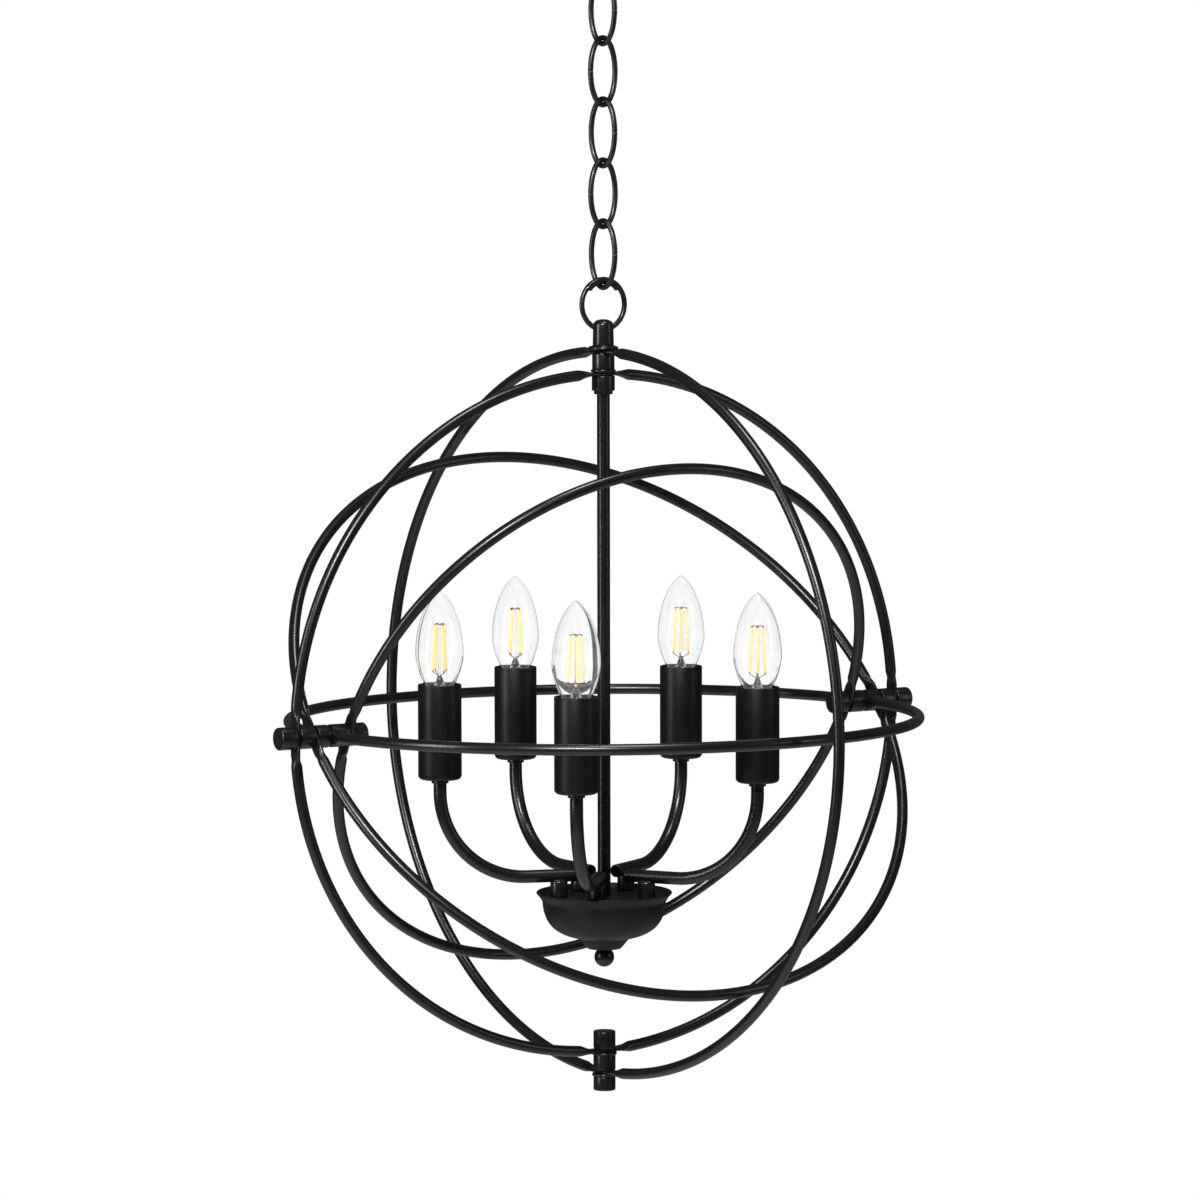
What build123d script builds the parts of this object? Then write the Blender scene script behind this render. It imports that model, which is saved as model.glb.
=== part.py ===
from build123d import *
from math import acos, cos, degrees, radians, sin, sqrt
import os

# Orb chandelier: five candle lamps on a dish, inside five nested rings, hung on a chain.
# Millimetres. The origin is on the ceiling at the middle of the crossbar, +Z is up, and
# X runs along the two pins that the three inner rings tilt on.

# ---------------------------------------------------------------- ceiling fitting
crossbar_end = 5  # steel left past each screw slot
crossbar_width = 20
crossbar_thickness = 3
crossbar_corner = 4
slot_spacing = 78  # between the middles of the two screw slots
slot_length = 16
slot_width = 5
canopy_diameter = 120
canopy_height = 25
canopy_wall = 1.2
canopy_shoulder = 6  # width of the slope between the canopy's wall and its flat bottom
ceiling_nipple_diameter = 10
ceiling_nipple_bore = 7
ceiling_nipple_engagement = 9  # how far it screws into the loop under the canopy
locknut_flats = 14
locknut_height = 3.5

# ---------------------------------------------------------------- loops and chain
loop_diameter = 40  # over the wire
loop_wire = 3.8
loop_crown_wire = 5.5  # the thicker part of the ring that the chain bears on
loop_crown_spread = 47  # degrees that it reaches to each side
loop_crown_taper = 6  # degrees in which its ends thin down to the wire
loop_rise = 29.3  # from the foot of the barrel to the middle of the ring
barrel_foot_diameter = 15.4
barrel_neck_diameter = 14.8
barrel_top_diameter = 8
barrel_shoulder = 15.6  # height of the edge under the domed top
barrel_height = 17.8
link_count = 5
link_length = 52.2  # over the wire
link_width = 28.4
link_wire = 4.0
chain_gap = 0.3  # between one link's wire and the next
chain_turn = 12  # degrees that the links' planes stand off the ring pins' direction

# ---------------------------------------------------------------- rings
fit = 0.1  # clearance beside a pin, and between two flat faces that turn on each other
ring_tube = 8.0
pad_thickness = 2.4  # where a ring's tube is pressed flat round a pin
pad_width = 12.0
pad_reach = 11.0  # from the pin to the end of the flat
pinch_length = 10.0  # from the flat to the round tube
small_ring_radius = 213.9
inner_spacer_length = 12.8  # between the small and the middle ring
middle_spacer_length = 9.6
outer_spacer_length = 11.4  # between the large ring and the frame ring
frame_ring_top_drop = 5.0  # how much less the frame ring rises than it reaches sideways
frame_ring_bottom_drop = 10.9
top_spacer_length = 11.3  # between the washer and the outer ring, at the top pole
bottom_spacer_length = 11.0
outer_ring_swell = 1.5  # how much wider than the frame ring the outer ring is
outer_ring_turn = -82.6  # degrees about Z from the frame ring
large_ring_tilt = 49.2  # degrees about X from level
middle_ring_tilt = -0.5
small_ring_tilt = 119.3

# ---------------------------------------------------------------- pins, spacers and caps
pole_pin_diameter = 7
hub_nipple_bore = 5
hub_nipple_engagement = 10  # how far it screws into the loop's barrel
hub_nipple_drop = 8  # how far it reaches down inside the stem's collar
tilt_pin_diameter = 5
pin_engagement = 9  # how far a pin goes into its cap
spacer_diameter = 16.3
washer_diameter = 18.2
washer_thickness = 2.0
flange_diameter = 21
flange_lip = 1.6
flange_height = 3.6
flange_seat = 0.4  # ledge round the barrel's foot
cap_diameter = 16.2
cap_bevel = 0.6
outer_cap_length = 12.7
inner_cap_length = 12.0
pole_cap_length = 10.4
crown_cap_length = 13.0
collar_diameter = 16.8
collar_length = 10.8
collar_step_diameter = 13.7
collar_step_length = 2.6

# ---------------------------------------------------------------- stem, dish and arms
stem_diameter = 9.5
stem_bore = 7.5
stem_socket_depth = 5  # how far the stem goes up into its collar
dish_diameter = 99.2
dish_wall = 1.2
dish_drop = 127.6  # from the ring pins down to the rim
rim_edge = 1.2
flare_height = 6.2
waist_diameter = 90.4
bowl_height = 26.6
bowl_bulge_diameter = 81.0
bowl_bulge_height = 16.0  # below the waist, where the bowl is that wide
tier_diameter = 37.0
tier_lip = 1.2
foot_diameter = 24.4
foot_height = 6.6
plate_drop = 3.2  # from the rim down to the cover plate
plate_thickness = 1.5
plate_edge_gap = 0.3
rod_diameter = 6.5
rod_reach = 25  # how far the rod goes up inside the stem
finial_diameter = 14.6
finial_depth = 8
finial_rings = 6
finial_nadir = 80  # degrees below its middle where its flat bottom lies
arm_tube = 9.5
arm_bore = 7.5
arm_bore_depth = 12
arm_height = 16.1  # from the cover plate up to the middle of an arm
arm_start = 18
arm_bend = 64
arm_reach = 122.5  # from the stem's axis to a lamp's axis
arm_azimuths = (162.5, 90.8, 229.0, 30.0, 302.5)  # as bent by hand, near even fifths
post_diameter = 12.8
post_position = 34
stud_diameter = 8
stud_length = 8
nut_flats = 13
nut_height = 5

# ---------------------------------------------------------------- lamps
lamp_bottom = -41.5  # of a sleeve, from the ring pins
sleeve_diameter = 31.6
sleeve_wall = 1.2
sleeve_length = 69.2
sleeve_floor = 1.6
sleeve_bevel = 3.2
sleeve_washer_diameter = 12.4
sleeve_washer_height = 2.6
arm_end_rise = 5  # how far an arm reaches up into its sleeve
holder_diameter = 25
bulb_base_diameter = 13.8
bulb_base_length = 23
bulb_base_play = 0.3  # between the base's side and the lampholder's bore
bulb_base_room = 2.0  # left in the bore under the base
glass_wall = 0.8
glass_outline = (  # radius and height above the sleeve's rim
    (8.2, -8.6),
    (11.4, 0.3),
    (15.0, 9.5),
    (17.5, 24.0),
    (16.6, 34.5),
    (14.1, 46.1),
    (9.4, 57.7),
    (4.6, 64.3),
    (1.2, 67.8),
)
filament_size = 2.0
filament_length = 34.6
filament_start = 9.2  # above the sleeve's rim
filament_spread = 5.2
support_thickness = 1.0
glass_stem_diameter = 10.0  # at its foot
glass_stem_flare = 6.0  # height in which it narrows to the rod
glass_rod_diameter = 2.4

# ---------------------------------------------------------------- flat sides and straight runs
ring_runs = 34  # straight runs in a whole ring
wire_runs = 14  # straight runs in a chain link or a loop
crown_runs = 5  # straight runs in the thick part of a loop
bend_runs = 6  # straight runs in an arm's bend
tube_sides = 8
dish_sides = 24
sleeve_sides = 14
barrel_sides = 16
turned_sides = 10  # of pins, bushes and caps
glass_sides = 12

# ---------------------------------------------------------------- places worked out
crossbar_length = slot_spacing + slot_length + 2 * crossbar_end
link_rise = link_length / 2 - link_wire / 2
link_pitch = 2 * link_rise - link_wire - chain_gap
crown_inside = loop_diameter / 2 - loop_crown_wire
loop_to_wire = crown_inside - link_wire / 2 - chain_gap
ceiling_loop_z = -canopy_height - fit
ceiling_ring_z = ceiling_loop_z - loop_rise
top_link_z = ceiling_ring_z - loop_to_wire - link_rise
bottom_link_z = top_link_z - (link_count - 1) * link_pitch
hanging_ring_z = bottom_link_z - link_rise - loop_to_wire
hanging_loop_z = hanging_ring_z - loop_rise
flange_z = hanging_loop_z - flange_height - fit
ring_step = pad_thickness + 2 * fit  # a ring's flat with the clearance at its two faces
middle_ring_radius = small_ring_radius + inner_spacer_length + ring_step
large_ring_radius = middle_ring_radius + middle_spacer_length + ring_step
frame_ring_side = large_ring_radius + outer_spacer_length + ring_step
frame_ring_top = frame_ring_side - frame_ring_top_drop
frame_ring_bottom = frame_ring_side - frame_ring_bottom_drop
pole_step = ring_step + washer_thickness + fit
outer_ring_side = frame_ring_side + outer_ring_swell
outer_ring_top = frame_ring_top + top_spacer_length + pole_step
outer_ring_bottom = frame_ring_bottom + bottom_spacer_length + pole_step
orb_z = flange_z - fit - pad_thickness / 2 - outer_ring_top
plate_z = orb_z - dish_drop - plate_drop
dish_foot_z = orb_z - dish_drop - rim_edge - flare_height - bowl_height - tier_lip - foot_height
arm_z = plate_z + arm_height
sleeve_z = orb_z + lamp_bottom
sleeve_top_z = sleeve_z + sleeve_length
collar_z = orb_z + frame_ring_top - pad_thickness / 2 - fit

os.makedirs("parts", exist_ok=True)


def save(part, label):
    """Label a finished piece and write its file."""
    part.label = label
    export_step(part, f"parts/{label}.step")


def around(azimuth, radius, z):
    """Upright plane origin at a distance from the axis, with X pointing outward."""
    outward = Vector(cos(radians(azimuth)), sin(radians(azimuth)))
    return Plane(origin=outward * radius + Vector(0, 0, z), x_dir=outward, z_dir=(0, 0, 1))


def upright(plane):
    """The plane's own X-Z plane, in which upright rings and arms are drawn."""
    return Plane(origin=plane.origin, x_dir=plane.x_dir, z_dir=-plane.y_dir)


def in_space(plane, across, up):
    """Point in space of a place drawn on a plane."""
    return plane.origin + plane.x_dir * across + plane.y_dir * up


def flat_faces(a, b, c, d):
    """Four-cornered face, or two triangles where its corners don't lie in one plane."""
    normal = (c - a).cross(d - b).normalized()
    if abs((b - a).dot(normal)) < 1e-5:
        return [Face(Wire.make_polygon([a, b, c, d]))]
    return [Face(Wire.make_polygon([a, b, c])), Face(Wire.make_polygon([a, c, d]))]


def skinned(rows, closed=False):
    """Flat-faced solid through rows of corners, with a face at both ends unless it closes."""
    faces = []
    if closed:
        rows = rows + rows[:1]
    else:
        faces = [Face(Wire.make_polygon(rows[0])), Face(Wire.make_polygon(rows[-1]))]
    for near, far in zip(rows, rows[1:]):
        for corner in range(len(near)):
            faces += flat_faces(near[corner - 1], near[corner], far[corner], far[corner - 1])
    return Solid(Shell(faces))


def tube(plane, path, closed=False):
    """Eight-sided tube along straight runs on a plane, with mitred corners.

    The path's stations are (place, thickness, width): the tube is as thick in the plane,
    and as wide square to it.
    """
    rows = []
    for index, (place, thickness, width) in enumerate(path):
        after = path[(index + 1) % len(path)][0] - place
        before = place - path[index - 1][0]
        if not closed and index == 0:
            before = after
        if not closed and index == len(path) - 1:
            after = before
        tangent = (before.normalized() + after.normalized()).normalized()
        outward = Vector(tangent.Y, -tangent.X) / tangent.dot(after.normalized())
        corner = min(thickness, width) * (1 - sqrt(0.5))
        flat, edge = thickness / 2, width / 2
        quarter = [(flat, edge - corner), (flat - corner, edge)]
        half = quarter + [(-out, side) for out, side in reversed(quarter)]
        row = []
        for out, side in half + [(-out, -side) for out, side in half]:
            point = place + outward * out
            row.append(in_space(plane, point.X, point.Y) + plane.z_dir * side)
        rows.append(row)
    return skinned(rows, closed)


def on_oval(side, top, bottom, angle):
    """Place on an oval at an angle from its X axis, and the direction along it there."""
    along, up = cos(radians(angle)), sin(radians(angle))
    pole = top if up >= 0 else bottom
    return Vector(side * along, pole * up), Vector(-side * up, pole * along).normalized()


def wire_oval(plane, side, pole, wire):
    """Wire bent to a closed oval, with a straight run across each crown."""
    stretch = 1 / cos(radians(180 / wire_runs))
    path = []
    for step in range(wire_runs):
        angle = 90 + 360 * (step + 0.5) / wire_runs
        place, _ = on_oval(side * stretch, pole * stretch, pole * stretch, angle)
        path.append((place, wire, wire))
    return tube(plane, path, closed=True)


def pinned_ring(plane, side, top, bottom, pins, hole_diameter):
    """Tube ring, pressed flat and drilled at its pins; the pins are angles in its plane."""
    spread = degrees((pad_reach + pinch_length) / side)
    path = []
    for pin, following in zip(pins, pins[1:] + [pins[0] + 360]):
        place, along = on_oval(side, top, bottom, pin)
        path.append((place - along * pad_reach, pad_thickness, pad_width))
        path.append((place + along * pad_reach, pad_thickness, pad_width))
        first, last = pin + spread, following - spread
        runs = round(ring_runs * (following - pin) / 360)
        for step in range(runs):
            angle = first + (last - first) * step / (runs - 1)
            place, _ = on_oval(side, top, bottom, angle)
            path.append((place, ring_tube, ring_tube))
    with BuildPart() as ring:
        add(tube(plane, path, closed=True))
        for pin in pins:
            place, along = on_oval(side, top, bottom, pin)
            middle = in_space(plane, place.X, place.Y)
            outward = plane.x_dir * along.Y - plane.y_dir * along.X
            with BuildSketch(Plane(origin=middle, x_dir=plane.z_dir, z_dir=outward)):
                RegularPolygon(round_hole(hole_diameter, turned_sides), turned_sides)
            extrude(amount=pad_thickness, both=True, mode=Mode.SUBTRACT)
    return ring.part


def faceted(plane, outline, sides, hollow=False):
    """Turned form with flat sides, from (radius, height) points.

    A hollow one closes round an open bore, and any other has a face at both ends.
    """
    rows = []
    for radius, height in outline:
        row = []
        for step in range(sides):
            angle = radians(360 * (step + 0.5) / sides)
            flat = in_space(plane, radius * cos(angle), radius * sin(angle))
            row.append(flat + plane.z_dir * height)
        rows.append(row)
    return skinned(rows, closed=hollow)


def round_hole(diameter, sides):
    """Corner radius of a flat-sided hole that clears what is round in it."""
    return (diameter / 2 + fit) / cos(radians(180 / sides))


def bush(plane, outer, inner, length):
    """Plain bush standing on a plane, with room in its bore for a pin."""
    bore = round_hole(inner, turned_sides)
    outline = [(bore, 0), (outer / 2, 0), (outer / 2, length), (bore, length)]
    return faceted(plane, outline, turned_sides, hollow=True)


def pin_between(start, length, diameter):
    """Plain pin that stands on a plane."""
    return faceted(start, [(diameter / 2, 0), (diameter / 2, length)], turned_sides)


def end_cap(plane, length, pin_diameter):
    """Turned cap, closed at its far end, that stands on a plane and takes a pin's end."""
    outer, bore = cap_diameter / 2, round_hole(pin_diameter, turned_sides)
    outline = [
        (bore, pin_engagement + fit),
        (bore, 0),
        (outer, 0),
        (outer, length - cap_bevel),
        (outer - cap_bevel, length),
    ]
    return faceted(plane, outline, turned_sides)


def screw_loop(plane, bore_diameter, bore_depth):
    """Cast loop: a barrel that screws on a nipple, and the ring that the chain passes through."""
    foot, neck, top = barrel_foot_diameter / 2, barrel_neck_diameter / 2, barrel_top_diameter / 2
    outside = loop_diameter / 2
    thick = (loop_crown_wire, loop_crown_spread, crown_runs)
    thin = (loop_wire, 180 - loop_crown_spread - loop_crown_taper, wire_runs - crown_runs)
    path = []
    for middle, (wire, spread, runs) in ((90, thick), (270, thin)):
        radius = (outside - wire / 2) / cos(radians(spread / runs))
        for step in range(runs + 1):
            angle = middle + spread * (2 * step / runs - 1)
            place, _ = on_oval(radius, radius, radius, angle)
            path.append((place, wire, wire))
    barrel = [(foot, 0), (neck, barrel_shoulder), (top, barrel_height)]
    with BuildPart() as loop:
        add(tube(upright(plane.offset(loop_rise)), path, closed=True))
        add(faceted(plane, barrel, barrel_sides))
        bore = round_hole(bore_diameter, turned_sides)
        add(
            faceted(plane, [(bore, 0), (bore, bore_depth)], turned_sides), mode=Mode.SUBTRACT
        )
    return loop.part


# ================================================================ ceiling fitting
with BuildPart() as ceiling_crossbar:
    with BuildSketch(Plane.XY.offset(-crossbar_thickness)):
        Rectangle(crossbar_length, crossbar_width)
        with Locations((-slot_spacing / 2, 0), (slot_spacing / 2, 0)):
            SlotOverall(slot_length, slot_width, mode=Mode.SUBTRACT)
        RegularPolygon(
            round_hole(ceiling_nipple_diameter, turned_sides), turned_sides, mode=Mode.SUBTRACT
        )
    extrude(amount=crossbar_thickness)
    chamfer(ceiling_crossbar.edges().filter_by(Axis.Z).group_by(Axis.X)[0], crossbar_corner)
    chamfer(ceiling_crossbar.edges().filter_by(Axis.Z).group_by(Axis.X)[-1], crossbar_corner)
save(ceiling_crossbar.part, "ceiling_crossbar")

nipple_length = canopy_height + fit + ceiling_nipple_engagement
with BuildPart() as ceiling_nipple:
    outer, bore = ceiling_nipple_diameter / 2, ceiling_nipple_bore / 2
    outline = [(bore, 0), (outer, 0), (outer, -nipple_length), (bore, -nipple_length)]
    add(faceted(Plane.XY, outline, turned_sides, hollow=True))
save(ceiling_nipple.part, "ceiling_nipple")

with BuildPart() as ceiling_locknut:
    with BuildSketch(Plane.XY.offset(-crossbar_thickness - locknut_height - fit)):
        RegularPolygon(locknut_flats / 2, 6, major_radius=False)
        RegularPolygon(
            round_hole(ceiling_nipple_diameter, turned_sides), turned_sides, mode=Mode.SUBTRACT
        )
    extrude(amount=locknut_height)
save(ceiling_locknut.part, "ceiling_locknut")

with BuildPart() as canopy:
    outer, inner = canopy_diameter / 2, canopy_diameter / 2 - canopy_wall
    hole = round_hole(ceiling_nipple_diameter, dish_sides)
    outline = [
        (hole, -canopy_height),
        (outer - canopy_shoulder, -canopy_height),
        (outer, -canopy_height + canopy_shoulder),
        (outer, 0),
        (inner, 0),
        (inner, -canopy_height + canopy_shoulder + canopy_wall / 2),
        (inner - canopy_shoulder, -canopy_height + canopy_wall),
        (hole, -canopy_height + canopy_wall),
    ]
    add(faceted(Plane.XY, outline, dish_sides, hollow=True))
save(canopy.part, "canopy")

chain_direction = Vector(cos(radians(chain_turn)), sin(radians(chain_turn)))
ceiling_base = Plane(origin=(0, 0, ceiling_loop_z), x_dir=chain_direction, z_dir=(0, 0, -1))
save(
    screw_loop(ceiling_base, ceiling_nipple_diameter, ceiling_nipple_engagement + fit),
    "ceiling_loop",
)

# ================================================================ chain
# Link 1 is the lowest. The top link stands square to the ceiling loop, and each link
# stands square to the next.
for number in range(1, link_count + 1):
    link_azimuth = chain_turn + 90 * ((link_count - number + 1) % 2)
    link_z = bottom_link_z + (number - 1) * link_pitch
    link_plane = upright(around(link_azimuth, 0, link_z))
    link_side = link_width / 2 - link_wire / 2
    save(wire_oval(link_plane, link_side, link_rise, link_wire), f"chain_link_{number}")

# ================================================================ top hub
save(
    screw_loop(
        Plane.XY.offset(hanging_loop_z), pole_pin_diameter, hub_nipple_engagement + fit
    ),
    "hanging_loop",
)

with BuildPart() as loop_flange:
    hole = round_hole(pole_pin_diameter, barrel_sides)
    outline = [
        (hole, 0),
        (flange_diameter / 2, 0),
        (flange_diameter / 2, flange_lip),
        (barrel_foot_diameter / 2 + flange_seat, flange_height),
        (hole, flange_height),
    ]
    add(faceted(Plane.XY.offset(flange_z), outline, barrel_sides, hollow=True))
save(loop_flange.part, "loop_flange")

with BuildPart() as hub_nipple:
    outer, bore = pole_pin_diameter / 2, hub_nipple_bore / 2
    nipple_top = hanging_loop_z + hub_nipple_engagement
    nipple_bottom = collar_z - hub_nipple_drop
    outline = [(bore, nipple_bottom), (outer, nipple_bottom), (outer, nipple_top), (bore, nipple_top)]
    add(faceted(Plane.XY, outline, turned_sides, hollow=True))
save(hub_nipple.part, "hub_nipple")

# Between the outer ring and the frame ring, at each pole: a washer and a spacer.
frame_top_face = orb_z + frame_ring_top + pad_thickness / 2
frame_bottom_face = orb_z - frame_ring_bottom - pad_thickness / 2
outer_bottom_face = orb_z - outer_ring_bottom + pad_thickness / 2
lowest_face = outer_bottom_face - pad_thickness
with BuildPart() as pole_spacers:
    for start, length in (
        (frame_top_face + washer_thickness + 2 * fit, top_spacer_length),
        (outer_bottom_face + fit, bottom_spacer_length),
    ):
        base = Plane.XY.offset(start)
        add(bush(base, spacer_diameter, pole_pin_diameter, length))
save(pole_spacers.part, "pole_spacers")

with BuildPart() as pole_washers:
    for start in (
        frame_top_face + fit,
        frame_bottom_face - fit - washer_thickness,
        lowest_face - fit - washer_thickness,
    ):
        base = Plane.XY.offset(start)
        add(bush(base, washer_diameter, pole_pin_diameter, washer_thickness))
save(pole_washers.part, "pole_washers")

with BuildPart() as stem_collar:
    bore = round_hole(pole_pin_diameter, barrel_sides)
    socket = round_hole(stem_diameter, barrel_sides)
    step = -collar_length - collar_step_length
    outline = [
        (bore, 0),
        (collar_diameter / 2, 0),
        (collar_diameter / 2, -collar_length),
        (collar_step_diameter / 2, -collar_length),
        (collar_step_diameter / 2, step),
        (socket, step),
        (socket, step + stem_socket_depth),
        (bore, step + stem_socket_depth),
    ]
    add(faceted(Plane.XY.offset(collar_z), outline, barrel_sides, hollow=True))
save(stem_collar.part, "stem_collar")

# ================================================================ bottom hub
with BuildPart() as pole_caps:
    crown_base = Plane.XY.offset(orb_z - frame_ring_bottom + pad_thickness / 2 + fit)
    add(end_cap(crown_base, crown_cap_length, pole_pin_diameter))
    foot_base = Plane(
        origin=(0, 0, lowest_face - washer_thickness - 2 * fit), x_dir=(1, 0, 0), z_dir=(0, 0, -1)
    )
    add(end_cap(foot_base, pole_cap_length, pole_pin_diameter))
save(pole_caps.part, "pole_caps")

with BuildPart() as bottom_pin:
    pin_top = crown_base.origin.Z + pin_engagement
    pin_bottom = foot_base.origin.Z - pin_engagement
    add(pin_between(Plane.XY.offset(pin_bottom), pin_top - pin_bottom, pole_pin_diameter))
save(bottom_pin.part, "bottom_pin")

# ================================================================ rings
centre = Vector(0, 0, orb_z)


def tilted(angle):
    """Plane through the ring pins, turned up from level about them."""
    normal = (0, -sin(radians(angle)), cos(radians(angle)))
    return Plane(origin=centre, x_dir=(1, 0, 0), z_dir=normal)


save(
    pinned_ring(
        upright(around(outer_ring_turn, 0, orb_z)),
        outer_ring_side,
        outer_ring_top,
        outer_ring_bottom,
        [90, 270],
        pole_pin_diameter,
    ),
    "outer_ring",
)
with BuildPart() as frame_ring:
    add(
        pinned_ring(
            tilted(90),
            frame_ring_side,
            frame_ring_top,
            frame_ring_bottom,
            [0, 90, 180, 270],
            tilt_pin_diameter,
        )
    )
    with BuildSketch(Plane.XY.offset(orb_z)):
        RegularPolygon(round_hole(pole_pin_diameter, turned_sides), turned_sides)
    extrude(amount=outer_ring_top, both=True, mode=Mode.SUBTRACT)
save(frame_ring.part, "frame_ring")
for name, radius, tilt in (
    ("large_tilt_ring", large_ring_radius, large_ring_tilt),
    ("middle_tilt_ring", middle_ring_radius, middle_ring_tilt),
    ("small_tilt_ring", small_ring_radius, small_ring_tilt),
):
    save(
        pinned_ring(tilted(tilt), radius, radius, radius, [0, 180], tilt_pin_diameter), name
    )


# ================================================================ pins of the tilting rings
def both_sides(make):
    """The same piece at the two ends of the pin axis, as two solids."""
    with BuildPart() as pair:
        for side in (-1, 1):
            outward = Plane(origin=centre, x_dir=(0, 0, 1), z_dir=(side, 0, 0))
            add(make(outward))
    return pair.part


def bush_outside(radius, length):
    """Spacer that stands on the outer side of a ring's flat."""
    start = radius + pad_thickness / 2 + fit
    return lambda outward: bush(
        outward.offset(start), spacer_diameter, tilt_pin_diameter, length
    )


save(both_sides(bush_outside(large_ring_radius, outer_spacer_length)), "outer_tilt_spacers")
save(both_sides(bush_outside(middle_ring_radius, middle_spacer_length)), "middle_tilt_spacers")
save(both_sides(bush_outside(small_ring_radius, inner_spacer_length)), "inner_tilt_spacers")

outer_cap_start = frame_ring_side + pad_thickness / 2 + fit
inner_cap_start = small_ring_radius - pad_thickness / 2 - fit


def outer_cap(outward):
    return end_cap(outward.offset(outer_cap_start), outer_cap_length, tilt_pin_diameter)


def inner_cap(outward):
    start = outward.offset(inner_cap_start)
    inward = Plane(origin=start.origin, x_dir=start.x_dir, z_dir=-start.z_dir)
    return end_cap(inward, inner_cap_length, tilt_pin_diameter)


def tilt_pin(outward):
    start = inner_cap_start - pin_engagement
    length = outer_cap_start + pin_engagement - start
    return pin_between(outward.offset(start), length, tilt_pin_diameter)


save(both_sides(outer_cap), "outer_pin_caps")
save(both_sides(inner_cap), "inner_pin_caps")
save(both_sides(tilt_pin), "tilt_pins")

# ================================================================ stem and dish
with BuildPart() as stem:
    outer, bore = stem_diameter / 2, stem_bore / 2
    stem_top = collar_z - collar_length - collar_step_length + stem_socket_depth - fit
    outline = [(bore, plate_z), (outer, plate_z), (outer, stem_top), (bore, stem_top)]
    add(faceted(Plane.XY, outline, turned_sides, hollow=True))
save(stem.part, "stem")

rod_hole = round_hole(rod_diameter, dish_sides)
with BuildPart() as dish:
    rim, waist, bulge = dish_diameter / 2, waist_diameter / 2, bowl_bulge_diameter / 2
    tier, foot = tier_diameter / 2, foot_diameter / 2
    flare = -rim_edge - flare_height
    bowl = flare - bowl_height
    bottom = bowl - tier_lip - foot_height
    outline = [
        (rim, 0),
        (rim, -rim_edge),
        (waist, flare),
        (bulge, flare - bowl_bulge_height),
        (tier, bowl),
        (tier, bowl - tier_lip),
        (foot, bottom),
        (rod_hole, bottom),
        (rod_hole, bottom + dish_wall),
        (foot - dish_wall, bottom + dish_wall),
        (tier - dish_wall, bowl + dish_wall),
        (bulge - dish_wall, flare - bowl_bulge_height + dish_wall / 2),
        (waist - dish_wall, flare),
        (rim - dish_wall, -rim_edge),
        (rim - dish_wall, 0),
    ]
    add(faceted(Plane.XY.offset(orb_z - dish_drop), outline, dish_sides, hollow=True))
save(dish.part, "dish")

flare_share = (plate_drop - rim_edge + plate_thickness) / flare_height
plate_radius = rim - (rim - waist) * flare_share - dish_wall - plate_edge_gap
with BuildPart() as dish_plate:
    outline = [(plate_radius, 0), (plate_radius, -plate_thickness)]
    add(faceted(Plane.XY.offset(plate_z), outline, dish_sides))
    with BuildSketch(Plane.XY.offset(plate_z)):
        RegularPolygon(round_hole(rod_diameter, turned_sides), turned_sides)
    extrude(amount=-plate_thickness, mode=Mode.SUBTRACT)
    for azimuth in arm_azimuths:
        with BuildSketch(around(azimuth, post_position, plate_z)):
            RegularPolygon(stud_diameter / 2 + 2 * fit, tube_sides)
        extrude(amount=-plate_thickness, mode=Mode.SUBTRACT)
save(dish_plate.part, "dish_plate")

with BuildPart() as centre_rod:
    rod_bottom = dish_foot_z - finial_depth
    rod_top = plate_z + rod_reach
    add(pin_between(Plane.XY.offset(rod_bottom), rod_top - rod_bottom, rod_diameter))
save(centre_rod.part, "centre_rod")

with BuildPart() as ball_finial:
    ball = finial_diameter / 2
    hole = round_hole(rod_diameter, turned_sides)
    brim = degrees(acos((hole + fit) / ball))
    ball_top = ball * sin(radians(brim))
    outline = [(hole, ball_top - finial_depth), (hole, ball_top)]
    for step in range(finial_rings + 1):
        latitude = radians(brim - (brim + finial_nadir) * step / finial_rings)
        outline.append((ball * cos(latitude), ball * sin(latitude)))
    add(faceted(Plane.XY.offset(dish_foot_z - fit - ball_top), outline, turned_sides))
save(ball_finial.part, "ball_finial")

# ================================================================ arms
for number, azimuth in enumerate(arm_azimuths, start=1):
    side_plane = upright(around(azimuth, 0, arm_z))
    bend_start = arm_reach - arm_bend
    path = [(Vector(arm_start, 0), arm_tube, arm_tube)]
    for step in range(bend_runs + 1):
        turn = radians(90 * step / bend_runs)
        place = Vector(bend_start + arm_bend * sin(turn), arm_bend - arm_bend * cos(turn))
        path.append((place, arm_tube, arm_tube))
    path.append((Vector(arm_reach, sleeve_z + arm_end_rise - arm_z), arm_tube, arm_tube))
    bore = [(Vector(arm_start + reach, 0), arm_bore, arm_bore) for reach in (0, arm_bore_depth)]
    with BuildPart() as arm:
        add(tube(side_plane, path))
        with BuildSketch(around(azimuth, post_position, plate_z + fit)):
            RegularPolygon(post_diameter / 2, turned_sides)
        extrude(amount=arm_height - arm_tube / 4)
        with BuildSketch(around(azimuth, post_position, plate_z - plate_thickness - stud_length)):
            RegularPolygon(stud_diameter / 2, tube_sides)
        extrude(amount=stud_length + plate_thickness + fit)
        add(tube(side_plane, bore), mode=Mode.SUBTRACT)
    save(arm.part, f"lamp_arm_{number}")

with BuildPart() as arm_nuts:
    for azimuth in arm_azimuths:
        nut_z = plate_z - plate_thickness - fit
        with BuildSketch(around(azimuth, post_position, nut_z)):
            RegularPolygon(nut_flats / 2, 6, major_radius=False)
            RegularPolygon(stud_diameter / 2 + fit, tube_sides, mode=Mode.SUBTRACT)
        extrude(amount=-nut_height)
save(arm_nuts.part, "arm_nuts")


# ================================================================ lamps
def at_each_lamp(make, z):
    """The same piece at the five lamps, as five solids."""
    with BuildPart() as five:
        for azimuth in arm_azimuths:
            add(make(around(azimuth, arm_reach, z)))
    return five.part


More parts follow.
